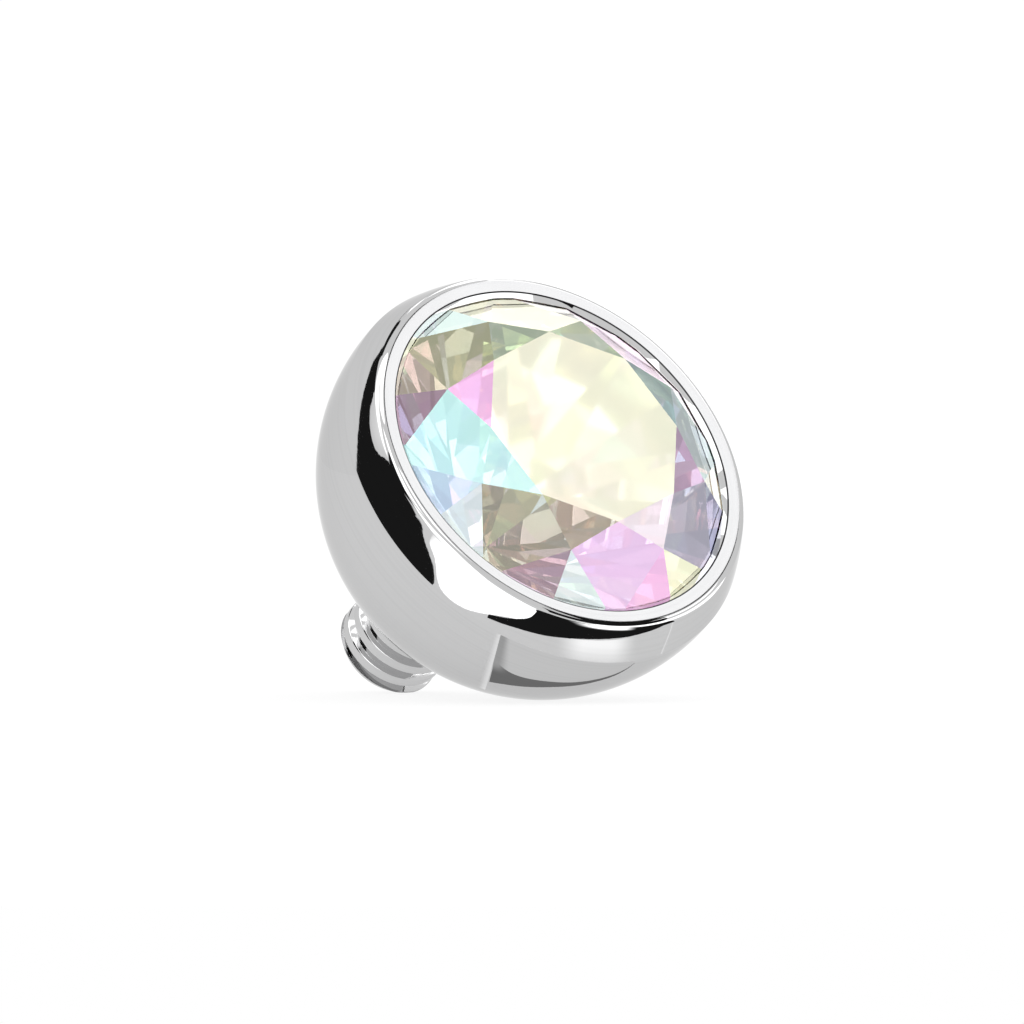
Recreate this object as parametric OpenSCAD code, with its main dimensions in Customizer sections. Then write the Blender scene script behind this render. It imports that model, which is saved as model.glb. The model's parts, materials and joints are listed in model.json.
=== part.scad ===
// Threaded gem ball: a mirror-polished steel ball with a round brilliant set in its
// open front and a short threaded post at its flat back. It screws into a body bar.
// It is modelled lying on a flat surface on its side, touching it with the ball and
// with the rim of the post's tip, with the stone facing -Y and up. Millimetres.
// The modules draw each piece upright, with the flat back at z = 0 and the stone up.

/* [Ball] */
// Diameter of the ball at its waist
ball_d = 5; // [4.8:0.05:5.4]
// Radius of the back's curve, seen in section
back_r = 2.37; // [2.3:0.01:2.45]
// Height of the waist above the flat back
waist_z = 2.04; // [1.9:0.01:2.06]
// Height of the crease between the back and the front band
crease_z = 2.13; // [2.11:0.01:2.16]
// Radius of the front band's slight curve, seen in section
band_r = 3; // [1.5:0.1:5]

/* [Lip] */
// Height of the flat lip above the flat back
lip_z = 2.594; // [2.58:0.002:2.61]
// Radius of the lip's opening
lip_in_r = 2.108; // [2.06:0.002:2.12]
// Outer radius of the lip's flat ring
lip_flat_r = 2.235; // [2.22:0.005:2.25]
// Radius of the lip's rounded outer corner
lip_round = 0.11; // [0.08:0.01:0.12]
// Slope of the metal where the band meets the rounded corner, degrees from the axis
lip_lean = 26.5; // [20:0.5:35]
// Turn of the cup about its axis, degrees, so that a flat of its mesh is underneath
cup_turn = 6.4; // [0:0.1:10]

/* [Stone] */
// Diameter of the stone at its girdle
stone_d = 4.36; // [4.3:0.01:4.4]
// Height of the table above the flat back
table_z = 3.109; // [3.05:0.001:3.12]
// Distance of the table's eight corners from the axis
table_r = 1.253; // [1.15:0.001:1.35]
// Slope of the eight kite facets, degrees
crown_slope = 35.8; // [34:0.1:37]
// Distance of the star facets' tips from the axis
star_r = 1.628; // [1.55:0.001:1.7]
// Height of the girdle's narrowest places
girdle_h = 0.05; // [0.04:0.01:0.08]
// Slope of the eight main facets below the girdle, degrees
pavilion_slope = 40.6; // [38:0.1:41]
// Where the lower girdle facets end, as a share of the girdle's radius
lower_share = 0.22; // [0.15:0.01:0.35]
// Turn of the stone in its seat, degrees
stone_turn = -1; // [-22.5:0.1:22.5]

/* [Post] */
// Outer diameter of the thread, M1.2
thread_d = 1.2; // [1.1:0.05:1.3]
// Pitch of the thread
pitch = 0.25; // [0.2:0.05:0.25]
// Number of grooves between the neck and the tip
grooves = 5; // [4:1:7]
// Width of a groove as a share of the pitch, the rest being the crest's flat
groove_share = 0.55; // [0.4:0.05:0.85]
// Length of the plain neck
neck_h = 0.24; // [0.15:0.01:0.3]
// Height of the rounded tip
tip_h = 0.33; // [0.25:0.01:0.4]
// Length of the tapered plug inside the ball
plug_h = 0.25; // [0.15:0.01:0.28]
// How far the plug's wide end stands out past the neck
plug_step = 0.06; // [0.04:0.01:0.1]

/* [Fit] */
// Gap between the pieces
gap = 0.015; // [0.01:0.005:0.03]

/* [Hidden] */

$fn = 96;
far = 10;
ball_r = ball_d / 2;
kites = 8;
half_turn = 180 / kites;
quarter_turn = half_turn / 2;

// The back's arc is centred a little off the axis, so the ball is a touch flattened.
back_off = ball_r - back_r;

// The band's arc runs from the crease to the top of the lip's rounded corner.
crease_r = back_off + sqrt(pow(back_r, 2) - pow(crease_z - waist_z, 2));
round_top = [
    lip_flat_r + lip_round * cos(lip_lean),
    lip_z - lip_round + lip_round * sin(lip_lean)
];
band_chord = round_top - [crease_r, crease_z];
chord_dir = band_chord / norm(band_chord);
band_depth = sqrt(pow(band_r, 2) - pow(norm(band_chord) / 2, 2));
band_centre = [crease_r, crease_z] + band_chord / 2 - band_depth * [chord_dir.y, -chord_dir.x];

// The stone, from its table down. Each slope is found from two places on the facet.
girdle_r = stone_d / 2;
star_z = table_z - (star_r * cos(half_turn) - table_r) * tan(crown_slope);
crown_z = table_z - (girdle_r - table_r) * tan(crown_slope);
star_slope = atan((table_z - star_z) / (star_r - table_r * cos(half_turn)));
upper_slope = atan((star_z - crown_z) / ((girdle_r - star_r) * cos(quarter_turn)));
scallop = girdle_r * (1 - cos(quarter_turn)) * tan(upper_slope);
belly_z = crown_z - 2 * scallop - girdle_h;
culet_z = belly_z - girdle_r * tan(pavilion_slope);
lower_r = lower_share * girdle_r;
lower_z = culet_z + lower_r * cos(half_turn) * tan(pavilion_slope);
lower_slope = atan((belly_z - lower_z) / ((girdle_r - lower_r) * cos(quarter_turn)));

// The seat follows the stone, a gap away from it.
seat_r = girdle_r + gap;
seat_drop = 2.5 * gap / cos(pavilion_slope);
seat_floor = culet_z - seat_drop;
under_lip_z = star_z - (lip_in_r - star_r) * cos(quarter_turn) * tan(upper_slope)
    + gap / cos(upper_slope);

// The thread's grooves have the usual 60 degrees between their flanks.
thread_r = thread_d / 2;
groove_w = groove_share * pitch;
flank_slope = 30;
root_r = thread_r - groove_w / 2 / tan(flank_slope);
thread_top = -neck_h;
rim_z = thread_top - grooves * pitch;
cap_r = (pow(thread_r, 2) + pow(tip_h, 2)) / (2 * tip_h);

// At rest the ball's back and the tip's rim touch the same plane, which fixes the tilt.
rim_to_arc = [waist_z - rim_z, thread_r - back_off];
rest_tilt = asin(back_r / norm(rim_to_arc)) - atan(rim_to_arc.y / rim_to_arc.x);
rest_drop = rim_z * sin(rest_tilt) - thread_r * cos(rest_tilt);
front_y = -((lip_z - lip_round) * cos(rest_tilt) + lip_flat_r * sin(rest_tilt) + lip_round);
back_y = -(rim_z - tip_h + cap_r) * cos(rest_tilt) + cap_r;

// Puts the upright model in its resting pose, with the middle of its box over the origin.
module at_rest() {
    translate([0, -(front_y + back_y) / 2, -rest_drop])
        rotate([90 - rest_tilt, 0, 0])
            children();
}

// The ball's outer shape, seen in section.
module ball_section() {
    intersection() {
        translate([back_off, waist_z]) circle(r = back_r);
        square([ball_r, crease_z]);
    }
    intersection() {
        translate(band_centre) circle(r = band_r);
        translate([0, crease_z]) square([ball_r, round_top.y - crease_z]);
    }
    translate([0, round_top.y - lip_round])
        square([lip_flat_r, lip_z - round_top.y + lip_round]);
    translate([lip_flat_r, lip_z - lip_round]) circle(r = lip_round);
}

// The stone's seat with the opening inside the lip, seen in section.
module seat_section() {
    polygon([
        [0, seat_floor],
        [seat_r, seat_floor + seat_r * tan(pavilion_slope)],
        [seat_r, under_lip_z - (seat_r - lip_in_r) * tan(upper_slope)],
        [lip_in_r, under_lip_z],
        [lip_in_r, far],
        [0, far]
    ]);
}

// The tapered plug that holds the post in the ball, seen in section and grown by extra.
module plug_section(extra) {
    polygon([
        [0, -extra],
        [thread_r + plug_step + extra, -extra],
        [thread_r + extra, plug_h + extra],
        [0, plug_h + extra]
    ]);
}

module bezel_cup() {
    color("silver") at_rest() rotate(cup_turn) rotate_extrude() difference() {
        ball_section();
        seat_section();
        plug_section(gap);
    }
}

// One groove of the thread, seen in section, with its upper edge at z = 0.
module groove_section() {
    polygon([
        [far, 0],
        [thread_r, 0],
        [root_r, -groove_w / 2],
        [thread_r, -groove_w],
        [far, -groove_w]
    ]);
}

module threaded_post() {
    color("silver") at_rest() rotate_extrude() {
        plug_section(0);
        difference() {
            translate([0, rim_z]) square([thread_r, -rim_z]);
            for (i = [0 : grooves - 1])
                translate([0, thread_top - i * pitch]) groove_section();
        }
        intersection() {
            translate([0, rim_z - tip_h + cap_r]) circle(r = cap_r);
            translate([0, rim_z - tip_h]) square([thread_r, tip_h]);
        }
    }
}

// Everything above a facet that passes through one point at the given azimuth.
module facet_cut(azimuth, reach, height, slope) {
    rotate(azimuth) translate([reach, 0, height]) rotate([0, slope, 0])
        translate([-far, -far, 0]) cube([2 * far, 2 * far, far]);
}

// A round of equal facets, the first of them at the given azimuth.
module facet_round(count, first, reach, height, slope) {
    for (i = [0 : count - 1])
        facet_cut(first + i * 360 / count, reach, height, slope);
}

module crystal() {
    color("lavender") at_rest() rotate(stone_turn) difference() {
        translate([0, 0, culet_z - 1]) cylinder(r = girdle_r, h = table_z - culet_z + 1);
        facet_round(kites, 0, table_r, table_z, crown_slope);
        facet_round(kites, half_turn, star_r, star_z, star_slope);
        facet_round(2 * kites, quarter_turn, star_r * cos(quarter_turn), star_z, upper_slope);
        mirror([0, 0, 1]) {
            facet_round(kites, 0, 0, -culet_z, pavilion_slope);
            facet_round(2 * kites, quarter_turn, lower_r * cos(quarter_turn), -lower_z,
                lower_slope);
        }
    }
}

bezel_cup();
threaded_post();
crystal();
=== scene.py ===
import json
import math

import bpy
from mathutils import Matrix, Vector

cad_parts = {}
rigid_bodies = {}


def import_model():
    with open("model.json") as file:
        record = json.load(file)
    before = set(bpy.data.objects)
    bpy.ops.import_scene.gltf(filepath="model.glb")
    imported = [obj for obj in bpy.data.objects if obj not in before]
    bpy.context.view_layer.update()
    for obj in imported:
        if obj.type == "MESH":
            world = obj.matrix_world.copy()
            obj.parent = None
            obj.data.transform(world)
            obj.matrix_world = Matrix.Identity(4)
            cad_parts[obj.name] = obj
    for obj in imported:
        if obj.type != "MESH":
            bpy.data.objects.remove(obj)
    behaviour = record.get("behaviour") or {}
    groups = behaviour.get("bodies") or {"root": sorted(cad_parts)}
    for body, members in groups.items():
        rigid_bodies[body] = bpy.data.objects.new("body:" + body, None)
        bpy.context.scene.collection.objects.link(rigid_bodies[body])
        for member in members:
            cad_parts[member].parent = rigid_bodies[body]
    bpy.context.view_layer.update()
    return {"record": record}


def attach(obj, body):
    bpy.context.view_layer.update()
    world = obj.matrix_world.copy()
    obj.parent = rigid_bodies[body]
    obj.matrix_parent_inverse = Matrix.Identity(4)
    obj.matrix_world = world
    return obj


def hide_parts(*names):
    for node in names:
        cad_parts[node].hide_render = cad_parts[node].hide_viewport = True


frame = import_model()

# A threaded gem ball: a polished steel ball, a round brilliant in its open front, and a
# threaded post. Each piece is modelled upright in millimetres, with the ball's flat back at
# z = 0 and the stone up, and is then laid down on its side, in metres.
MM = 0.001

# The ball's section
BALL_R = 2.5
BACK_R = 2.37
WAIST_Z = 2.04
CREASE_Z = 2.13
BAND_R = 3.0
LIP_Z = 2.594
LIP_IN_R = 2.108
LIP_FLAT_R = 2.235
LIP_ROUND = 0.11
LIP_LEAN = math.radians(26.5)
LIP_LEAN_IN = 0.05
LIP_TOUCH = 0.008
EDGE_ROUND = 0.01

# The stone
STONE_R = 2.18
TABLE_Z = 3.109
TABLE_R = 1.253
CROWN_SLOPE = math.radians(35.8)
STAR_R = 1.628
GIRDLE_H = 0.05
PAVILION_SLOPE = math.radians(40.6)
LOWER_SHARE = 0.22
STONE_TURN = math.radians(-1)
KITES = 8

# The post
THREAD_R = 0.6
PITCH = 0.25
GROOVES = 5
GROOVE_W = 0.55 * PITCH
NECK_H = 0.24
TIP_H = 0.33
FLANK_ANGLE = math.radians(30)
PLUG_H = 0.25
PLUG_STEP = 0.06
CREST_ROUND = 0.014

# Between the pieces
GAP = 0.015

# How finely the pieces are modelled
BALL_STEPS = 240
POST_STEPS = 96
GIRDLE_STEPS = 96
ARC_STEP = math.radians(1.6)
EDGE_STEPS = 3
EDGE_FROM = math.radians(12)
WELD = 1e-5
FACET_WELD = 1e-4
# Turns of thread that are cut off again, half of them at each end
SPARE_TURNS = 3


# What follows from those sizes

# Half and a quarter of the angle from one kite to the next
HALF_TURN = math.pi / KITES
QUARTER_TURN = HALF_TURN / 2

# The back's arc is centred a little off the axis.
BACK_CENTRE = (BALL_R - BACK_R, WAIST_Z)
CREASE_R = BACK_CENTRE[0] + math.sqrt(BACK_R ** 2 - (CREASE_Z - WAIST_Z) ** 2)
FLAT_R = BACK_CENTRE[0] + math.sqrt(BACK_R ** 2 - WAIST_Z ** 2)
ROUND_CENTRE = (LIP_FLAT_R, LIP_Z - LIP_ROUND)
ROUND_TOP = (
    ROUND_CENTRE[0] + LIP_ROUND * math.cos(LIP_LEAN),
    ROUND_CENTRE[1] + LIP_ROUND * math.sin(LIP_LEAN),
)

STAR_Z = TABLE_Z - (STAR_R * math.cos(HALF_TURN) - TABLE_R) * math.tan(CROWN_SLOPE)
CROWN_Z = TABLE_Z - (STONE_R - TABLE_R) * math.tan(CROWN_SLOPE)
STAR_SLOPE = math.atan2(TABLE_Z - STAR_Z, STAR_R - TABLE_R * math.cos(HALF_TURN))
UPPER_SLOPE = math.atan2(STAR_Z - CROWN_Z, (STONE_R - STAR_R) * math.cos(QUARTER_TURN))
SCALLOP = STONE_R * (1 - math.cos(QUARTER_TURN)) * math.tan(UPPER_SLOPE)
BELLY_Z = CROWN_Z - 2 * SCALLOP - GIRDLE_H
CULET_Z = BELLY_Z - STONE_R * math.tan(PAVILION_SLOPE)
LOWER_R = LOWER_SHARE * STONE_R
LOWER_Z = CULET_Z + LOWER_R * math.cos(HALF_TURN) * math.tan(PAVILION_SLOPE)
LOWER_SLOPE = math.atan2(BELLY_Z - LOWER_Z, (STONE_R - LOWER_R) * math.cos(QUARTER_TURN))

# The seat follows the stone.
SEAT_R = STONE_R + GAP
SEAT_DROP = 2.5 * GAP / math.cos(PAVILION_SLOPE)
SEAT_FLOOR = CULET_Z - SEAT_DROP
UNDER_LIP_Z = (
    STAR_Z - (LIP_IN_R - STAR_R) * math.cos(QUARTER_TURN) * math.tan(UPPER_SLOPE)
    + GAP / math.cos(UPPER_SLOPE)
)

# The lip is pressed down over the stone's edge, so its inner side leans in.
LIP_FOOT_R = LIP_IN_R - LIP_LEAN_IN
LIP_FOOT_Z = (
    STAR_Z - (LIP_FOOT_R - STAR_R) * math.cos(QUARTER_TURN) * math.tan(UPPER_SLOPE) + LIP_TOUCH
)

RIM_Z = -NECK_H - GROOVES * PITCH
CAP_R = (THREAD_R ** 2 + TIP_H ** 2) / (2 * TIP_H)
ROOT_R = THREAD_R - GROOVE_W / 2 / math.tan(FLANK_ANGLE)

# The record's back face says how the ball lies.
back_face = next(m for m in frame["record"]["mounts"] if m["name"] == "back_face")
AXIS = -Vector(back_face["axis"])
ACROSS = Vector((1, 0, 0))
BACK_MIDDLE = Vector((0, back_face["pos_m"][1], back_face["pos_m"][2]))
LAID_TURN = Matrix((ACROSS, AXIS.cross(ACROSS), AXIS)).transposed()
LAID_DOWN = Matrix.LocRotScale(BACK_MIDDLE, LAID_TURN.to_quaternion(), Vector((MM, MM, MM)))


# Modelling

def only(piece):
    """Makes a piece the one that is selected and active."""
    bpy.ops.object.select_all(action="DESELECT")
    piece.select_set(True)
    bpy.context.view_layer.objects.active = piece


def edit(piece):
    """Starts to edit a piece with all of its mesh selected."""
    only(piece)
    bpy.ops.object.mode_set(mode="EDIT")
    bpy.ops.mesh.select_all(action="SELECT")


def done():
    """Ends the editing."""
    bpy.ops.object.mode_set(mode="OBJECT")


def sweep_angle(centre, start, end):
    """The counterclockwise angle from start to end about a centre, in the section's plane."""
    first = math.atan2(start[1] - centre[1], start[0] - centre[0])
    last = math.atan2(end[1] - centre[1], end[0] - centre[0])
    return (last - first + math.pi) % (2 * math.pi) - math.pi


def arc_centre(start, end, radius):
    """The centre of the arc of this radius that bulges outwards between two places."""
    chord = Vector(end) - Vector(start)
    depth = math.sqrt(radius ** 2 - (chord.length / 2) ** 2)
    inward = Vector((-chord.y, chord.x)).normalized()
    return tuple((Vector(start) + Vector(end)) / 2 + inward * depth)


def draw_section(name, start, strokes):
    """Draws a section as a wire from a start, one stroke after another.

    A stroke is its end, and for an arc also its centre. Places are (distance from axis, height).
    """
    bpy.ops.object.select_all(action="DESELECT")
    bpy.ops.mesh.primitive_plane_add(size=1)
    wire = bpy.context.object
    wire.name = wire.data.name = name
    edit(wire)
    bpy.ops.mesh.merge(type="CENTER")
    bpy.ops.transform.translate(value=(start[0], 0, start[1]))
    pen = start
    for end, centre in strokes:
        if centre is None:
            move = {"value": (end[0] - pen[0], 0, end[1] - pen[1])}
            bpy.ops.mesh.extrude_vertices_move(TRANSFORM_OT_translate=move)
        else:
            angle = sweep_angle(centre, pen, end)
            bpy.ops.mesh.spin(
                steps=max(2, round(abs(angle) / ARC_STEP)), angle=angle,
                center=(centre[0], 0, centre[1]), axis=(0, 1, 0),
            )
        pen = end
    done()
    return wire


def turn_on_axis(piece, steps):
    """Turns a section round the axis into a closed solid."""
    edit(piece)
    bpy.ops.mesh.spin(steps=steps, angle=2 * math.pi, center=(0, 0, 0), axis=(0, 0, 1))
    bpy.ops.mesh.select_all(action="SELECT")
    bpy.ops.mesh.remove_doubles(threshold=WELD)
    bpy.ops.mesh.normals_make_consistent(inside=False)
    done()


def add_modifier(piece, kind, **settings):
    """Adds a modifier with these settings and applies it."""
    only(piece)
    modifier = piece.modifiers.new(kind.lower(), kind)
    for key, value in settings.items():
        setattr(modifier, key, value)
    bpy.ops.object.modifier_apply(modifier=modifier.name)


def lay_down(piece):
    """Puts an upright piece in its resting pose and applies that to its mesh."""
    only(piece)
    piece.matrix_world = LAID_DOWN
    bpy.ops.object.transform_apply(location=True, rotation=True, scale=True)


def smooth(piece, sharp_angle):
    """Shades a piece smoothly, except over edges sharper than this many degrees."""
    only(piece)
    bpy.ops.object.shade_smooth_by_angle(angle=math.radians(sharp_angle))


def cut_away(piece, place, normal):
    """Cuts off what lies on the normal's side of a plane and closes the cut."""
    edit(piece)
    bpy.ops.mesh.bisect(plane_co=place, plane_no=normal, use_fill=True, clear_outer=True)
    done()


def press_foot(cup):
    """Presses the foot of the lip's leaning side down onto the stone's facets.

    The leaning side goes on down at its slope until it is just above the facet below it.
    """
    rise = (LIP_Z - LIP_FOOT_Z) / LIP_LEAN_IN
    # The heights at which the leaning side and the facets' planes would meet the axis
    lean_top = LIP_Z - LIP_TOUCH - rise * LIP_IN_R
    upper_top = STAR_Z + STAR_R * math.cos(QUARTER_TURN) * math.tan(UPPER_SLOPE)
    kite_top = TABLE_Z + TABLE_R * math.tan(CROWN_SLOPE)
    foot = {}
    for v in cup.data.vertices:
        off_foot = abs(math.hypot(v.co.x, v.co.y) - LIP_FOOT_R) + abs(v.co.z - LIP_FOOT_Z)
        if off_foot < FACET_WELD:
            azimuth = math.atan2(v.co.y, v.co.x) - STONE_TURN
            off_upper = azimuth % HALF_TURN - QUARTER_TURN
            off_kite = (azimuth + HALF_TURN) % (2 * HALF_TURN) - HALF_TURN
            reach = min(
                (upper_top - lean_top) / (rise + math.tan(UPPER_SLOPE) * math.cos(off_upper)),
                (kite_top - lean_top) / (rise + math.tan(CROWN_SLOPE) * math.cos(off_kite)),
            )
            foot.setdefault(round(reach, 5), []).append(v.index)
    for reach, places in foot.items():
        edit(cup)
        bpy.ops.mesh.select_all(action="DESELECT")
        done()
        for place in places:
            cup.data.vertices[place].select = True
        bpy.ops.object.mode_set(mode="EDIT")
        share = reach / LIP_FOOT_R
        bpy.ops.transform.resize(value=(share, share, 1), center_override=(0, 0, 0))
        bpy.ops.transform.translate(value=(0, 0, (reach - LIP_FOOT_R) * rise))
        done()


def model_cup():
    """The ball: domed back, crease, band, lip, and inside it the stone's seat."""
    band_centre = arc_centre((CREASE_R, CREASE_Z), ROUND_TOP, BAND_R)
    cup = draw_section("steel_ball", (0, PLUG_H + GAP), [
        ((THREAD_R + GAP, PLUG_H + GAP), None),
        ((THREAD_R + PLUG_STEP + GAP, 0), None),
        ((FLAT_R, 0), None),
        ((CREASE_R, CREASE_Z), BACK_CENTRE),
        (ROUND_TOP, band_centre),
        ((LIP_FLAT_R, LIP_Z), ROUND_CENTRE),
        ((LIP_IN_R, LIP_Z), None),
        ((LIP_FOOT_R, LIP_FOOT_Z), None),
        ((LIP_IN_R, UNDER_LIP_Z), None),
        ((SEAT_R, UNDER_LIP_Z - (SEAT_R - LIP_IN_R) * math.tan(UPPER_SLOPE)), None),
        ((SEAT_R, SEAT_FLOOR + SEAT_R * math.tan(PAVILION_SLOPE)), None),
        ((0, SEAT_FLOOR), None),
    ])
    turn_on_axis(cup, BALL_STEPS)
    press_foot(cup)
    add_modifier(
        cup, "BEVEL", width=EDGE_ROUND, segments=EDGE_STEPS, limit_method="ANGLE",
        angle_limit=EDGE_FROM, use_clamp_overlap=True,
    )
    smooth(cup, sharp_angle=35)
    add_modifier(cup, "WEIGHTED_NORMAL", keep_sharp=True)
    return cup


def model_post():
    """The post: a tapered plug inside the ball, a neck, a right-hand thread and a round tip."""
    thread = draw_section("steel_post", (ROOT_R, 0), [
        ((THREAD_R, GROOVE_W / 2), None),
        ((THREAD_R, PITCH - GROOVE_W / 2), None),
        ((ROOT_R, PITCH), None),
    ])
    edit(thread)
    bpy.ops.mesh.bevel(
        offset=CREST_ROUND, segments=EDGE_STEPS, affect="VERTICES", offset_type="OFFSET",
    )
    done()
    edit(thread)
    bpy.ops.transform.translate(value=(0, 0, RIM_Z - SPARE_TURNS / 2 * PITCH))
    done()
    add_modifier(
        thread, "SCREW", axis="Z", angle=2 * math.pi, screw_offset=PITCH,
        iterations=GROOVES + SPARE_TURNS, steps=POST_STEPS, render_steps=POST_STEPS,
        use_normal_calculate=True,
    )
    edit(thread)
    bpy.ops.mesh.remove_doubles(threshold=WELD)
    bpy.ops.mesh.normals_make_consistent(inside=False)
    done()
    cut_away(thread, (0, 0, -NECK_H + GAP), (0, 0, 1))
    cut_away(thread, (0, 0, RIM_Z - GAP), (0, 0, -1))
    edit(thread)
    bpy.ops.mesh.normals_make_consistent(inside=False)
    done()

    cap_centre = (0, RIM_Z - TIP_H + CAP_R)
    ends = []
    for name, start, strokes in [
        ("neck", (0, PLUG_H), [
            ((THREAD_R, PLUG_H), None),
            ((THREAD_R + PLUG_STEP, 0), None),
            ((THREAD_R, 0), None),
            ((THREAD_R, -NECK_H), None),
            ((0, -NECK_H), None),
        ]),
        ("tip", (0, RIM_Z - TIP_H), [
            ((THREAD_R, RIM_Z), cap_centre),
            ((0, RIM_Z), None),
        ]),
    ]:
        end = draw_section(name, start, strokes)
        turn_on_axis(end, POST_STEPS)
        ends.append(end)
    for end in ends:
        add_modifier(thread, "BOOLEAN", operation="UNION", solver="EXACT", object=end)
        bpy.data.objects.remove(end)
    smooth(thread, sharp_angle=25)
    return thread


def around(angle, reach=1.0, height=0.0):
    """A place at this angle about the axis."""
    return Vector((reach * math.cos(angle), reach * math.sin(angle), height))


def cut_facets(stone, count, first, reach, height, slope, upwards=1):
    """Cuts a round of equal facets, each through one place at its own azimuth."""
    for i in range(count):
        azimuth = first + i * 2 * math.pi / count
        normal = around(azimuth, math.sin(slope), upwards * math.cos(slope))
        cut_away(stone, around(azimuth, reach, height), normal)


def model_stone():
    """The round brilliant, cut from a cylinder facet by facet."""
    bpy.ops.object.select_all(action="DESELECT")
    deep = 3 * STONE_R
    bpy.ops.mesh.primitive_cylinder_add(
        vertices=GIRDLE_STEPS, radius=STONE_R, depth=deep, location=(0, 0, TABLE_Z - deep / 2),
    )
    stone = bpy.context.object
    stone.name = stone.data.name = "round_brilliant"
    only(stone)
    bpy.ops.object.transform_apply(location=True)
    cut_facets(stone, KITES, 0, TABLE_R, TABLE_Z, CROWN_SLOPE)
    cut_facets(stone, KITES, HALF_TURN, STAR_R, STAR_Z, STAR_SLOPE)
    cut_facets(
        stone, 2 * KITES, QUARTER_TURN, STAR_R * math.cos(QUARTER_TURN), STAR_Z, UPPER_SLOPE
    )
    cut_facets(stone, KITES, 0, 0, CULET_Z, PAVILION_SLOPE, -1)
    cut_facets(
        stone, 2 * KITES, QUARTER_TURN, LOWER_R * math.cos(QUARTER_TURN), LOWER_Z,
        LOWER_SLOPE, -1,
    )
    edit(stone)
    bpy.ops.mesh.remove_doubles(threshold=FACET_WELD)
    bpy.ops.mesh.normals_make_consistent(inside=False)
    bpy.ops.transform.rotate(
        value=-STONE_TURN, orient_axis="Z", center_override=(0, 0, 0),
    )
    done()
    return stone


cup = model_cup()
post = model_post()
stone = model_stone()


# Materials

def new_material(name):
    """A material with its node tree and its shader."""
    material = bpy.data.materials.new(name)
    material.use_nodes = True
    return material, material.node_tree, material.node_tree.nodes["Principled BSDF"]


def set_inputs(node, **values):
    """Sets a node's sockets, named with _ for a space."""
    for name, value in values.items():
        node.inputs[name.replace("_", " ")].default_value = value


def math_node(tree, operation, first, second=0.0):
    """A Math node whose two values are numbers or other nodes' outputs."""
    node = tree.nodes.new("ShaderNodeMath")
    node.operation = operation
    for socket, value in zip(node.inputs, (first, second)):
        if isinstance(value, (int, float)):
            socket.default_value = value
        else:
            tree.links.new(value, socket)
    return node.outputs[0]


def between(tree, value, low, high, to_low=0.0, to_high=1.0):
    """Maps a value smoothly from one range to another."""
    node = tree.nodes.new("ShaderNodeMapRange")
    node.interpolation_type = "SMOOTHSTEP"
    for socket, number in zip(node.inputs[1:5], (low, high, to_low, to_high)):
        socket.default_value = number
    tree.links.new(value, node.inputs[0])
    return node.outputs[0]


def new_group(name, inputs, outputs):
    """A shader node group with named float, colour and vector sockets."""
    tree = bpy.data.node_groups.new(name, "ShaderNodeTree")
    for label, kind, value in inputs:
        socket = tree.interface.new_socket(label, in_out="INPUT", socket_type=kind)
        socket.default_value = value
    for label, kind in outputs:
        tree.interface.new_socket(label, in_out="OUTPUT", socket_type=kind)
    return tree, tree.nodes.new("NodeGroupInput"), tree.nodes.new("NodeGroupOutput")


def place_group(tree, group, **values):
    """Puts a group in a node tree, with these values on its sockets."""
    node = tree.nodes.new("ShaderNodeGroup")
    node.node_tree = group
    set_inputs(node, **values)
    return node


def upright_place():
    """A group that gives a place on a piece in millimetres about the ball's axis.

    Ring is the distance from the axis, the height, and the sine of the angle about the axis.
    """
    tree, _, out = new_group("place_about_axis", [], [
        ("Radius", "NodeSocketFloat"),
        ("Height", "NodeSocketFloat"),
        ("Ring", "NodeSocketVector"),
        ("Upright", "NodeSocketVector"),
    ])
    place = tree.nodes.new("ShaderNodeTexCoord")
    upright = tree.nodes.new("ShaderNodeMapping")
    upright.vector_type = "TEXTURE"
    set_inputs(upright, Location=BACK_MIDDLE, Rotation=LAID_TURN.to_euler(), Scale=(MM, MM, MM))
    tree.links.new(place.outputs["Object"], upright.inputs["Vector"])
    parts = tree.nodes.new("ShaderNodeSeparateXYZ")
    tree.links.new(upright.outputs[0], parts.inputs[0])
    x_square = math_node(tree, "MULTIPLY", parts.outputs[0], parts.outputs[0])
    y_square = math_node(tree, "MULTIPLY", parts.outputs[1], parts.outputs[1])
    radius = math_node(tree, "SQRT", math_node(tree, "ADD", x_square, y_square))
    ring = tree.nodes.new("ShaderNodeCombineXYZ")
    tree.links.new(radius, ring.inputs[0])
    tree.links.new(parts.outputs[2], ring.inputs[1])
    turn = math_node(tree, "ARCTAN2", parts.outputs[1], parts.outputs[0])
    tree.links.new(math_node(tree, "SINE", turn), ring.inputs[2])
    tree.links.new(radius, out.inputs["Radius"])
    tree.links.new(parts.outputs[2], out.inputs["Height"])
    tree.links.new(ring.outputs[0], out.inputs["Ring"])
    tree.links.new(upright.outputs[0], out.inputs["Upright"])
    return tree


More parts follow.
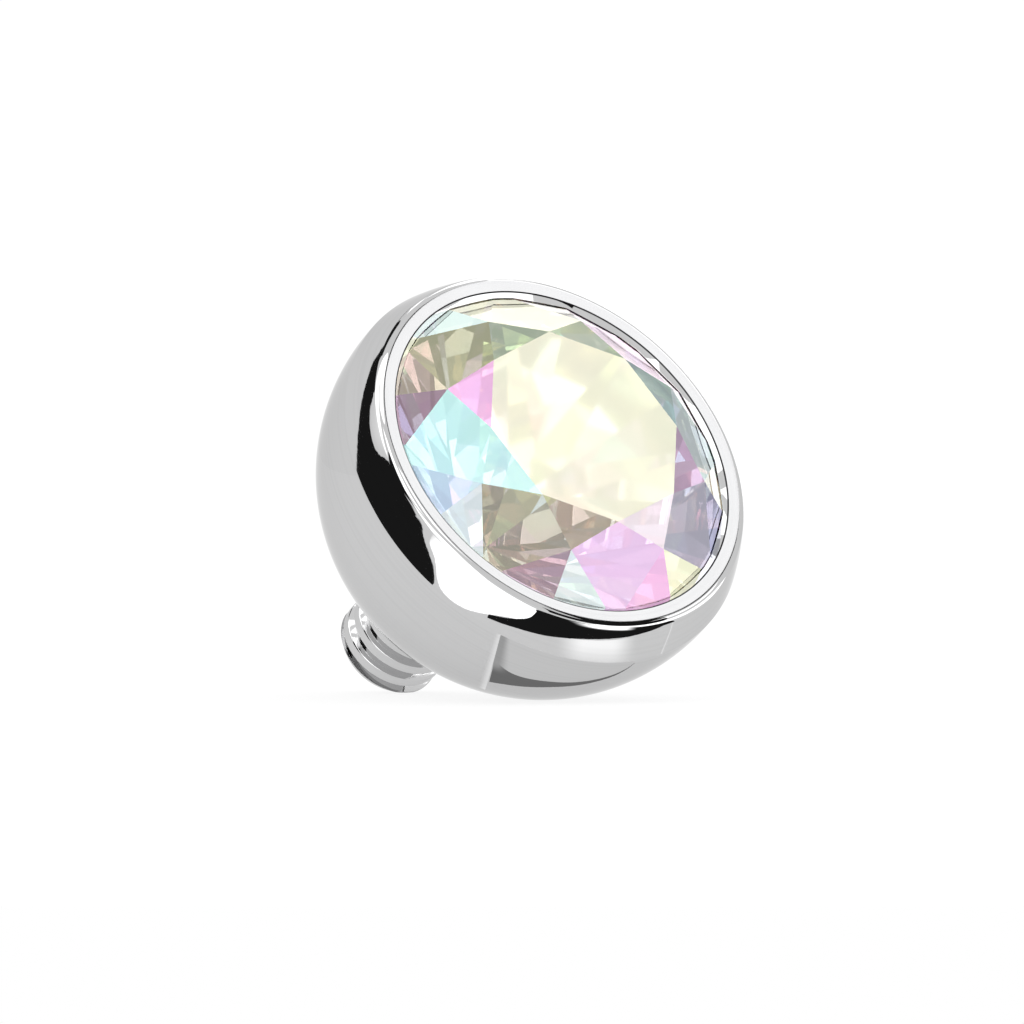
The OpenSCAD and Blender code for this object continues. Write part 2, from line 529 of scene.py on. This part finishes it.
def turning_marks():
    """A group that gives fine rings left by turning and polishing, and a broad haze."""
    tree, given, out = new_group("turning_marks", [
        ("Rings", "NodeSocketFloat", 20.0),
        ("Haze", "NodeSocketFloat", 1.5),
    ], [
        ("Marks", "NodeSocketFloat"),
        ("Cloud", "NodeSocketFloat"),
    ])
    place = place_group(tree, PLACE_GROUP)
    stretch = tree.nodes.new("ShaderNodeVectorMath")
    stretch.operation = "MULTIPLY"
    stretch.inputs[1].default_value = (1, 1, ALONG_RING)
    tree.links.new(place.outputs["Ring"], stretch.inputs[0])
    for source, scale, label in [
        (stretch.outputs[0], "Rings", "Marks"), (place.outputs["Upright"], "Haze", "Cloud")
    ]:
        noise = tree.nodes.new("ShaderNodeTexNoise")
        noise.inputs["Detail"].default_value = 3
        tree.links.new(source, noise.inputs["Vector"])
        tree.links.new(given.outputs[scale], noise.inputs["Scale"])
        tree.links.new(noise.outputs[0], out.inputs[label])
    return tree


def coating_drift():
    """A group that lets a coating's colour wander a little over a facet."""
    tree, given, out = new_group("coating_drift", [
        ("Tint", "NodeSocketColor", (1, 1, 1, 1)),
        ("Scale", "NodeSocketFloat", 1.0),
        ("Wander", "NodeSocketFloat", 0.1),
    ], [
        ("Color", "NodeSocketColor"),
    ])
    place = place_group(tree, PLACE_GROUP)
    noise = tree.nodes.new("ShaderNodeTexNoise")
    noise.inputs["Detail"].default_value = 1
    tree.links.new(place.outputs["Upright"], noise.inputs["Vector"])
    tree.links.new(given.outputs["Scale"], noise.inputs["Scale"])
    swing = math_node(tree, "SUBTRACT", noise.outputs[0], 0.5)
    shift = math_node(tree, "MULTIPLY", swing, given.outputs["Wander"])
    hue = tree.nodes.new("ShaderNodeHueSaturation")
    tree.links.new(math_node(tree, "ADD", shift, 0.5), hue.inputs["Hue"])
    tree.links.new(given.outputs["Tint"], hue.inputs["Color"])
    tree.links.new(hue.outputs[0], out.inputs["Color"])
    return tree


# How fast the marks change along a ring, against across it
ALONG_RING = 0.04
PLACE_GROUP = upright_place()
MARKS_GROUP = turning_marks()
DRIFT_GROUP = coating_drift()


def mix(tree, share, first, second, blend="MIX"):
    """A mix of two colours, each a colour or another node's output, by a share."""
    node = tree.nodes.new("ShaderNodeMix")
    node.data_type = "RGBA"
    node.blend_type = blend
    for label, value in (("Factor", share), ("A", first), ("B", second)):
        if isinstance(value, tuple):
            node.inputs[label].default_value = (*value, 1)
        else:
            tree.links.new(value, node.inputs[label])
    return node.outputs["Result"]


def steel(name, rings, base, smoothest, roughest, mark_depth):
    """Steel with faint turning rings, a hazier flat lip that is painted darker as shade, and
    painted shade along the lip's inner edge.
    """
    material, tree, shader = new_material(name)
    set_inputs(shader, Metallic=1.0, Specular_Tint=STEEL_EDGE_TINT)
    marks = place_group(tree, MARKS_GROUP, Rings=rings)
    place = place_group(tree, PLACE_GROUP)

    tones = [tuple(base * share for share in shares) for shares in STEEL_TONES]
    tone = mix(tree, between(tree, marks.outputs["Marks"], *MARK_RANGE), *tones)
    # Painted shade: the top of the lip's inner edge is darkened as if shaded by the gap to the
    # stone
    inside = between(
        tree, place.outputs["Radius"], SEAM_SHADE_R - SEAM_SHADE_FADE, SEAM_SHADE_R + SEAM_SHADE_FADE, 1, 0
    )
    seam_shade_top = between(tree, place.outputs["Height"], LIP_Z - EDGE_ROUND, LIP_Z - EDGE_ROUND / 2)
    tone = mix(tree, math_node(tree, "MULTIPLY", inside, seam_shade_top), tone, SEAM_PAINTED_SHADE)
    # Painted shade: the lip's flat ring is darkened so the lights it mirrors read grey, and it is
    # also made hazier
    flat_shade_and_haze = between(tree, place.outputs["Height"], LIP_Z - FLAT_FROM, LIP_Z - FLAT_FROM / 2)
    tone = mix(tree, flat_shade_and_haze, tone, RIM_PAINTED_SHADE, "MULTIPLY")
    tree.links.new(tone, shader.inputs["Base Color"])

    haze = between(tree, marks.outputs["Cloud"], *CLOUD_RANGE, smoothest, roughest)
    rim_haze = math_node(tree, "MULTIPLY", flat_shade_and_haze, RIM_HAZE)
    tree.links.new(math_node(tree, "ADD", haze, rim_haze), shader.inputs["Roughness"])
    bump = tree.nodes.new("ShaderNodeBump")
    set_inputs(bump, Strength=1.0, Distance=mark_depth * MM)
    tree.links.new(marks.outputs["Marks"], bump.inputs["Height"])
    tree.links.new(bump.outputs[0], shader.inputs["Normal"])
    return material


def coated(name, wander, scale):
    """A shader whose colour is the facet's tint, wandering a little."""
    material, tree, shader = new_material(name)
    tint = tree.nodes.new("ShaderNodeAttribute")
    tint.attribute_name = "facet_tint"
    drift = place_group(tree, DRIFT_GROUP, Scale=scale, Wander=wander)
    tree.links.new(tint.outputs["Color"], drift.inputs["Tint"])
    tree.links.new(drift.outputs[0], shader.inputs["Base Color"])
    return material, shader


def crown_crystal():
    """Clear crystal under a thin coating that mirrors its tint."""
    material, shader = coated("coated_crystal", wander=0.10, scale=0.9)
    set_inputs(shader, IOR=CRYSTAL_IOR, Transmission_Weight=1.0, Metallic=COATING_MIRROR)
    tree = material.node_tree
    haze = tree.nodes.new("ShaderNodeAttribute")
    haze.attribute_name = "facet_haze"
    tree.links.new(haze.outputs["Fac"], shader.inputs["Roughness"])
    return material


def foil_crystal():
    """The mirror foil behind the stone, seen through the crystal."""
    material, shader = coated("foiled_crystal", wander=0.16, scale=1.6)
    set_inputs(shader, Roughness=0.0, Metallic=1.0)
    return material


# The steel's two tones, as shares of its base tone, and its tint at grazing angles
STEEL_TONES = [(1, 1, 1.005), (0.96, 0.96, 0.965)]
STEEL_EDGE_TINT = (0.8, 0.8, 0.8, 1)
# Between which values the marks change the tone, and the cloud the roughness
MARK_RANGE = (0.45, 0.75)
CLOUD_RANGE = (0.3, 0.7)

# Painted shade along the lip's inner edge, where it meets the stone, and the lip's flat ring,
# painted darker as shade and made hazier
SEAM_SHADE_R = LIP_IN_R + 0.006
SEAM_SHADE_FADE = 0.003
SEAM_PAINTED_SHADE = (0.03, 0.03, 0.032)
FLAT_FROM = 0.002
RIM_PAINTED_SHADE = (0.70, 0.70, 0.705)
RIM_HAZE = 0.13

CRYSTAL_IOR = 1.54
# The share of the light that the stone's coating mirrors
COATING_MIRROR = 0.38

# The coating's colours, in linear red, green and blue
CREAM = (0.85, 0.84, 0.66)
LEMON = (0.84, 0.84, 0.58)
MINT = (0.66, 0.83, 0.78)
AQUA = (0.51, 0.83, 0.84)
SKY = (0.46, 0.63, 0.76)
ICE = (0.65, 0.74, 0.76)
PEARL = (0.88, 0.87, 0.98)
INDIGO = (0.38, 0.36, 0.62)
LILAC = (0.78, 0.52, 0.79)
ORCHID = (0.90, 0.64, 0.92)
PINK = (0.82, 0.45, 0.72)
ROSE = (0.80, 0.59, 0.71)
BLUSH = (0.82, 0.72, 0.77)
BEIGE = (0.90, 0.80, 0.63)
OLIVE = (0.80, 0.82, 0.54)
SAGE = (0.80, 0.95, 0.72)
TEAL = (0.48, 0.66, 0.66)
MAUVE = (0.70, 0.48, 0.61)
SMOKE = (0.74, 0.70, 0.58)
PEACH = (0.98, 0.78, 0.66)
SHELL = (0.92, 0.55, 0.80)
VIOLET = (0.84, 0.81, 1.0)
HEATHER = (0.66, 0.55, 0.70)
IVORY = (0.90, 0.87, 0.80)

# Each list goes round the stone anticlockwise, from the kite on its right
KITE_TINTS = [TEAL, SHELL, LEMON, OLIVE, AQUA, SMOKE, LILAC, VIOLET]
STAR_TINTS = [TEAL, SAGE, SAGE, PINK, AQUA, BEIGE, BLUSH, ORCHID]
UPPER_TINTS = [
    HEATHER, SHELL, SHELL, IVORY, LEMON, MINT, BEIGE, MAUVE,
    SKY, ICE, ROSE, ICE, PINK, LEMON, INDIGO, TEAL,
]
# How hazy the coating is on the table, and on the kites and upper facets of the far side
TABLE_HAZE = 0.12
KITE_HAZE = {1: 0.10}
UPPER_HAZE = {0: 0.12, 1: 0.12, 2: 0.12, 3: 0.12, 4: 0.08}
MAIN_FOIL_TINTS = [PEARL, SAGE, BEIGE, ICE, PEACH, LEMON, PEARL, LILAC]
LOWER_FOIL_TINTS = [
    ICE, PEARL, MINT, SAGE, OLIVE, PEACH, PEARL, BEIGE,
    ROSE, LEMON, BEIGE, PEACH, ROSE, ICE, INDIGO, PEARL,
]

# Facets that face less far up than this have the foil
FOILED_BELOW = 0.1
# How close a facet's slope is to the one that its round was cut at
NEAR_SLOPE = math.radians(3)
NEAR_MAIN_SLOPE = math.radians(0.6)


def paint_facets(stone):
    """Gives each facet its tint and haze, by how steep it is and by its azimuth."""
    mesh = stone.data
    mesh.color_attributes.new("facet_tint", "FLOAT_COLOR", "CORNER")
    mesh.attributes.new("facet_haze", "FLOAT", "CORNER")
    tints = mesh.attributes["facet_tint"]
    hazes = mesh.attributes["facet_haze"]
    for facet in mesh.polygons:
        tilt = math.acos(max(-1, min(1, facet.normal.z)))
        azimuth = (math.atan2(facet.normal.y, facet.normal.x) - STONE_TURN) % (2 * math.pi)
        place = azimuth / (2 * math.pi)
        tint = PEARL
        haze = 0.0
        facet.material_index = 0
        if facet.normal.z < FOILED_BELOW:
            facet.material_index = 1
            if abs(math.pi - tilt - PAVILION_SLOPE) < NEAR_MAIN_SLOPE:
                tint = MAIN_FOIL_TINTS[round(place * KITES) % KITES]
            else:
                tint = LOWER_FOIL_TINTS[round(place * 2 * KITES - 0.5) % (2 * KITES)]
        elif tilt < STAR_SLOPE / 2:
            tint = CREAM
            haze = TABLE_HAZE
        elif abs(tilt - STAR_SLOPE) < NEAR_SLOPE:
            tint = STAR_TINTS[round(place * KITES - 0.5) % KITES]
        elif abs(tilt - CROWN_SLOPE) < NEAR_SLOPE:
            kite = round(place * KITES) % KITES
            tint = KITE_TINTS[kite]
            haze = KITE_HAZE.get(kite, 0.0)
        elif abs(tilt - UPPER_SLOPE) < NEAR_SLOPE:
            upper = round(place * 2 * KITES - 0.5) % (2 * KITES)
            tint = UPPER_TINTS[upper]
            haze = UPPER_HAZE.get(upper, 0.0)
        for corner in facet.loop_indices:
            tints.data[corner].color = (*tint, 1)
            hazes.data[corner].value = haze


paint_facets(stone)
for piece in (cup, post, stone):
    lay_down(piece)

cup.data.materials.append(steel(
    "polished_steel", rings=20, base=0.57, smoothest=0.015, roughest=0.035, mark_depth=0.0001,
))
post.data.materials.append(steel(
    "turned_steel", rings=60, base=0.58, smoothest=0.03, roughest=0.07, mark_depth=0.0003,
))
stone.data.materials.append(crown_crystal())
stone.data.materials.append(foil_crystal())

for piece, node, slot in [
    (cup, "bezel_cup", "polished_steel"),
    (post, "threaded_post", "turned_steel"),
    (stone, "crystal", "iridescent_crystal"),
]:
    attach(piece, "root")
    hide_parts(node)


# Studio

CAMERA_AZIMUTH = math.radians(-34.91)
CAMERA_ELEVATION = math.radians(2.21)
CAMERA_DISTANCE = 60
PIXELS_PER_MM = 89.71
IMAGE_SIDE = 1024
# Where in the image the middle of the lip is
LIP_AT = (561.9, 451.3)

scene = bpy.context.scene
right = Vector((math.cos(CAMERA_AZIMUTH), math.sin(CAMERA_AZIMUTH), 0))
back = Vector((
    math.sin(CAMERA_AZIMUTH) * math.cos(CAMERA_ELEVATION),
    -math.cos(CAMERA_AZIMUTH) * math.cos(CAMERA_ELEVATION),
    math.sin(CAMERA_ELEVATION),
))
up = back.cross(right)
lip_middle = LAID_DOWN @ Vector((0, 0, LIP_Z))
target = (
    lip_middle
    - right * (LIP_AT[0] - IMAGE_SIDE / 2) / PIXELS_PER_MM * MM
    + up * (LIP_AT[1] - IMAGE_SIDE / 2) / PIXELS_PER_MM * MM
)
lens = bpy.data.cameras.new("camera")
lens.type = "ORTHO"
lens.ortho_scale = IMAGE_SIDE / PIXELS_PER_MM * MM
lens.clip_start = 1 * MM
lens.clip_end = 1.0
camera = bpy.data.objects.new("camera", lens)
scene.collection.objects.link(camera)
camera.matrix_world = Matrix.LocRotScale(
    target + back * CAMERA_DISTANCE * MM,
    Matrix((right, up, back)).transposed().to_quaternion(),
    Vector((1, 1, 1)),
)
scene.camera = camera

scene.view_settings.view_transform = "Standard"
scene.cycles.glossy_bounces = 10
scene.cycles.transmission_bounces = 10
scene.cycles.max_bounces = 14

AWAY = Vector((-back.x, -back.y, 0)).normalized()
BALL_MIDDLE = LAID_DOWN @ Vector((0, 0, WAIST_Z))
CARD_DISTANCE = 80
# How far out the nearer cards are, as a share of that
NEAR_SHARE = 0.96
# How much higher a card on the floor lies for each object made before it
CARD_LIFT = 0.0005
CARD_SMOOTHING = 3
ROUND_CARD_STEPS = 24
# The ray depth between the first mirror and the next one
AFTER_FIRST = (1.4, 1.6)

# How bright the cards are
BLACK = 0.015
DIM = 0.25
SHADE = 0.56
PALE = 0.93
LINE = 1.25
GLOW = 1.65
BRIGHT = 2.4
GLINT = 3.0
LIP_BRIGHT = 3.1


def in_sky(azimuth, elevation):
    """A place on the studio's dome. Azimuth 0 is toward the camera, and 90 is its right."""
    a = math.radians(azimuth)
    e = math.radians(elevation)
    level = right * math.sin(a) - AWAY * math.cos(a)
    return BALL_MIDDLE + (level * math.cos(e) + Vector((0, 0, math.sin(e)))) * CARD_DISTANCE * MM


def on_floor(across, away):
    """A place on the floor, in millimetres to the camera's right and away from it."""
    return (right * across + AWAY * away) * MM


def near_sky(azimuth, elevation):
    """A place on the dome, a little nearer than the other cards."""
    return BALL_MIDDLE.lerp(in_sky(azimuth, elevation), NEAR_SHARE)


def panel_material(name, brightness, soft, mirror):
    """The face of a card.

    Soft has the shares of the card over which it fades at its first end, its last end, its
    first edge and its second edge. Mirror is "first" if only the first thing that mirrors the
    card sees it, and "later" if only those after that do.
    """
    material = bpy.data.materials.new(name)
    material.use_nodes = True
    material.cycles.emission_sampling = "NONE"
    tree = material.node_tree
    tree.nodes.clear()
    light = tree.nodes.new("ShaderNodeEmission")
    light.inputs["Strength"].default_value = brightness
    out = tree.nodes.new("ShaderNodeOutputMaterial")
    if not soft and not mirror:
        tree.links.new(light.outputs[0], out.inputs["Surface"])
        return material
    place = tree.nodes.new("ShaderNodeTexCoord")
    sides = tree.nodes.new("ShaderNodeSeparateXYZ")
    tree.links.new(place.outputs["UV"], sides.inputs[0])
    strength = 1.0
    if mirror:
        depth = tree.nodes.new("ShaderNodeLightPath").outputs["Ray Depth"]
        shows = (1, 0) if mirror == "first" else (0, 1)
        strength = between(tree, depth, *AFTER_FIRST, *shows)
    for side, share in enumerate(soft or ()):
        if share:
            place_on_side = sides.outputs[side // 2]
            if side % 2:
                place_on_side = math_node(tree, "SUBTRACT", 1.0, place_on_side)
            faded = between(tree, place_on_side, 0, share)
            strength = math_node(tree, "MULTIPLY", strength, faded)
    fade = tree.nodes.new("ShaderNodeMixShader")
    tree.links.new(strength, fade.inputs[0])
    tree.links.new(tree.nodes.new("ShaderNodeBsdfTransparent").outputs[0], fade.inputs[1])
    tree.links.new(light.outputs[0], fade.inputs[2])
    tree.links.new(fade.outputs[0], out.inputs["Surface"])
    return material


def card(name, brightness, place, first_edge, second_edge, soft=None, mirror=None):
    """A card that only mirrors see, between two edges with the same number of places.

    Soft and mirror are as in panel_material.
    """
    bpy.ops.object.select_all(action="DESELECT")
    bpy.ops.mesh.primitive_grid_add(x_subdivisions=len(first_edge) - 1, y_subdivisions=1)
    sheet = bpy.context.object
    sheet.name = sheet.data.name = name
    columns = sorted({round(v.co.x, 5) for v in sheet.data.vertices})
    for v in sheet.data.vertices:
        column = columns.index(round(v.co.x, 5))
        edge = first_edge if v.co.y < 0 else second_edge
        v.co = place(*edge[column])
        if place == on_floor:
            v.co.z = len(scene.collection.all_objects) * CARD_LIFT * MM
    add_modifier(
        sheet, "SUBSURF", levels=CARD_SMOOTHING, render_levels=CARD_SMOOTHING,
        boundary_smooth="PRESERVE_CORNERS",
    )
    sheet.data.materials.append(panel_material(name, brightness, soft, mirror))
    sheet.visible_camera = sheet.visible_diffuse = sheet.visible_shadow = False
    sheet.visible_transmission = sheet.visible_volume_scatter = False


def sky_card(name, brightness, from_azimuth, to_azimuth, low, high):
    """A card between two azimuths and two elevations."""
    steps = 4
    across = [from_azimuth + (to_azimuth - from_azimuth) * i / steps for i in range(steps + 1)]
    card(name, brightness, in_sky, [(a, low) for a in across], [(a, high) for a in across])


def round_card(name, brightness, azimuth, elevation, inner, outer, start=0, end=360, mirror=None):
    """A round card, or a ring or part of one, about a direction in the sky."""
    turn = Matrix.Rotation(math.radians(azimuth), 3, "Z")
    turn = turn @ Matrix.Rotation(math.radians(90 - elevation), 3, "X")
    edges = []
    for reach in (inner, outer):
        cone = math.radians(reach)
        edge = []
        for i in range(ROUND_CARD_STEPS + 1):
            t = math.radians(start + (end - start) * i / ROUND_CARD_STEPS)
            away = turn @ Vector((
                math.sin(cone) * math.cos(t), math.sin(cone) * math.sin(t), math.cos(cone),
            ))
            card_azimuth = math.degrees(math.atan2(away.x, -away.y))
            edge.append((card_azimuth, math.degrees(math.asin(away.z))))
        edges.append(edge)
    card(name, brightness, in_sky, *edges, mirror=mirror)


def light_studio():
    """A plain white world, in which rays that go through the stone see pale cells instead."""
    world = bpy.data.worlds.new("studio")
    scene.world = world
    world.use_nodes = True
    world.cycles.sampling_method = "NONE"
    tree = world.node_tree
    direction = tree.nodes.new("ShaderNodeTexCoord")
    cells = tree.nodes.new("ShaderNodeTexVoronoi")
    cells.voronoi_dimensions = "4D"
    set_inputs(cells, W=CELL_PATTERN, Scale=CELL_SCALE)
    tree.links.new(direction.outputs["Generated"], cells.inputs["Vector"])
    cell_value = tree.nodes.new("ShaderNodeSeparateColor")
    tree.links.new(cells.outputs["Color"], cell_value.inputs[0])
    ramp = tree.nodes.new("ShaderNodeValToRGB")
    ramp.color_ramp.interpolation = "CONSTANT"
    ramp.color_ramp.elements.new(0.5)
    for step, (start, brightness) in zip(ramp.color_ramp.elements, CELL_LIGHTS):
        step.position = start
        step.color = (brightness, brightness, brightness, 1)
    tree.links.new(cell_value.outputs[0], ramp.inputs[0])
    path = tree.nodes.new("ShaderNodeLightPath")
    through_stone = path.outputs["Is Transmission Ray"]
    light = mix(tree, through_stone, (1, 1, 1), ramp.outputs[0])
    tree.links.new(light, tree.nodes["Background"].inputs["Color"])


def lay_floor():
    """A plain white floor, which rays that go through the stone don't see."""
    bpy.ops.object.select_all(action="DESELECT")
    bpy.ops.mesh.primitive_plane_add(size=2.0)
    floor = bpy.context.object
    floor.name = floor.data.name = "floor"
    floor.visible_transmission = False
    white, _, shader = new_material("white_floor")
    set_inputs(
        shader, Base_Color=(0.2, 0.2, 0.2, 1), Roughness=0.9, Specular_IOR_Level=0.0,
        Emission_Color=(1, 1, 1, 1), Emission_Strength=FLOOR_GLOW,
    )
    white.cycles.emission_sampling = "NONE"
    floor.data.materials.append(white)


# The cells' brightnesses, each after the value from 0 to 1 from which a cell has it
CELL_LIGHTS = [(0.0, 0.45), (0.5, 1.4), (0.8, 2.3)]
# Which of the endless patterns of cells it is, and how fine
CELL_PATTERN = 1.9
CELL_SCALE = 7.0
FLOOR_GLOW = 0.83

light_studio()
lay_floor()

# What the ball's side mirrors: a dark stripe, first in the sky and then on the floor, and the
# lights beside it
card("side_flag", BLACK, in_sky, [
    (-162, 31), (-152, 35.5), (-141, 38.4), (-129, 39.2), (-118, 38.4), (-108, 35.7), (-99, 31.6),
    (-92, 26.8), (-86.5, 21), (-82, 15.5), (-78, 9.5), (-72, 4), (-66, -2),
], [
    (-166, 34), (-150, 39.5), (-136, 41.4), (-125, 42), (-113, 41), (-102, 37.6), (-92, 33.2),
    (-83, 27.5), (-75, 22.8), (-66, 19.4), (-57, 11.5), (-52, 4), (-47.5, -2),
])
card("side_floor_flag", BLACK, on_floor, [
    (-78, -26), (-50, -20), (-20, -10), (-9, -6.3), (-5.5, -4.8), (-3.6, -4.0), (-2.2, -3.7),
], [
    (-60.6, -55.4), (-34, -33), (-15, -17), (-6.8, -9.0), (-4.6, -6.9), (-3.0, -5.4), (-2.2, -4.3),
])
card("shoulder_flag", BLACK, in_sky, [
    (-64, 7), (-53, 8), (-42, 11.5), (-32, 12),
], [
    (-66, 19), (-54, 31), (-43, 41), (-32, 47),
])
card("corner_flag", BLACK, in_sky, [
    (-153, 38), (-143, 40), (-134, 41), (-126, 41.5),
], [
    (-154, 66), (-143, 67), (-132, 65), (-119, 60),
], mirror="first")
card("shoulder_glint", GLINT, in_sky, [(-31, 26), (-25, 26)], [(-31, 29), (-25, 29)])
card("side_light", BRIGHT, in_sky, [
    (-113, 41), (-102, 37.6), (-92, 33.2), (-83, 27.5), (-75, 22.8), (-66, 19.4), (-57, 29),
], [
    (-108, 62), (-104, 72), (-100, 84), (-84, 90), (-68, 88), (-60, 74), (-54, 50),
], (0.3, 0, 0.22, 0))
card("floor_light", BRIGHT, on_floor, [
    (-9, -13), (-6.3, -8.9), (-4.5, -7.2), (-2.9, -5.5), (-2.1, -4.2), (-0.93, -3.5),
    (-0.34, -3.42), (0.15, -3.38), (0.8, -3.0),
], [
    (-20, -60), (-18, -62), (-14, -63), (-9, -64), (-4, -64), (1, -64), (6, -64),
    (9, -60), (1.6, -4.2),
], (0.3, 0, 0, 0))

# The black patch under the lip, with a glint and a glow in it
card("front_flag", BLACK, on_floor, [
    (-0.32, -3.32), (0.33, -3.03), (0.76, -2.79), (1.34, -2.51), (1.83, -2.18), (2.40, -1.74),
    (3.07, -1.09), (3.3, -0.9),
], [
    (-0.3, -3.42), (0.56, -3.2), (0.75, -3.45), (1.3, -4.6), (2.6, -5.6), (4.2, -4.6), (5.2, -3),
    (5.4, -1.6),
])
card("front_glint", GLINT, on_floor, [
    (1.32, -2.78), (1.62, -2.54), (1.88, -2.32), (2.12, -2.10), (2.31, -1.90),
], [
    (2.6, -4.6), (3.6, -4.4), (4.6, -4.1), (5.0, -3.5), (5.2, -3.0),
], (0.35, 0.35, 0.25, 0.3))
card("front_glow", GLOW, on_floor, [
    (0.9, -2.74), (1.4, -2.45), (1.85, -2.12), (2.35, -1.75),
], [
    (0.75, -2.2), (1.05, -1.95), (1.4, -1.65), (1.8, -1.3),
], (0.35, 0.35, 0, 0.9))

# What the ball's underside mirrors, on the floor close to it
card("under_light", PALE, on_floor, [
    (-0.15, -2.5), (0.48, -2.38), (0.76, -2.15), (1.3, -1.72), (1.75, -1.3),
], [
    (-0.15, -1.4), (0.48, -1.45), (0.76, -1.43), (1.2, -1.27), (1.75, -1.14),
])
card("under_flag", DIM, on_floor, [
    (-0.15, -1.9), (0, -1.76), (0.15, -1.68), (0.3, -1.64), (0.5, -1.6), (0.72, -1.53),
    (1.2, -1.33), (1.5, -1.17), (1.75, -1.15),
], [
    (-0.15, -1.32), (0, -1.38), (0.15, -1.41), (0.3, -1.43), (0.5, -1.44), (0.72, -1.42),
    (1.2, -1.26), (1.5, -1.12), (1.75, -1.14),
])
card("under_shade", SHADE, on_floor, [
    (-0.16, -2.45), (-0.08, -2.45), (0.02, -2.45),
], [
    (-0.18, -1.6), (-0.08, -1.6), (0.10, -1.6),
], (0, 0.6, 0, 0.3))
card("under_line", LINE, on_floor, [
    (-0.26, -2.45), (-0.155, -2.45),
], [
    (-0.27, -0.9), (-0.17, -0.9),
], (0.85, 0, 0, 0))
card("right_line", LINE, on_floor, [
    (2.2, -0.90), (3.2, -0.87),
], [
    (2.2, -0.97), (3.2, -0.94),
], (0, 0, 0.7, 0))

# Lights and flags for the lip and the stone's facets
table_mirrors = (94, 48)
round_card("key_light", BRIGHT, *table_mirrors, inner=0, outer=8)
round_card(
    "key_flag", BLACK, *table_mirrors, inner=8, outer=17, start=70, end=300, mirror="first",
)
card("lip_flag_low", BLACK, in_sky, [
    (40, -2), (55, -2), (70, -2), (84, -2),
], [
    (48, 19), (58, 19), (70, 19), (82, 19),
], mirror="first")
card("lip_flag_high", BLACK, in_sky, [
    (60, 19), (68, 19), (75, 19), (82, 19),
], [
    (64, 36), (69, 38), (76, 41), (84, 42),
], mirror="first")
lip_azimuths = range(-50, 200, 25)
card("lip_light", LIP_BRIGHT, near_sky, [
    (azimuth, -4) for azimuth in lip_azimuths
], [
    (azimuth, 80) for azimuth in lip_azimuths
], mirror="later")
sky_card("key_side_light", BRIGHT, 103, 131, 36, 57)
sky_card("lip_rear_light", BRIGHT, 146, 160, 46, 60)
sky_card("high_light", BRIGHT, -40, 80, 66, 89.5)
sky_card("left_light", BRIGHT, 20, 46, 38.5, 56)
sky_card("low_light", BRIGHT, 78, 100, 12, 23)
sky_card("front_light", BRIGHT, -30, -4, 28, 60)
sky_card("near_light", BRIGHT, -30, 11, -3, 20)
sky_card("rear_light", BRIGHT, 163, 180, -2, 60)
sky_card("rear_top_light", BRIGHT, -174, -162, 49, 61)
card("right_light", BRIGHT, on_floor, [
    (4.2, -5.4), (9, -7.2), (20, -14), (60, -38),
], [
    (5.8, 2), (9, 5), (20, 12), (60, 38),
])
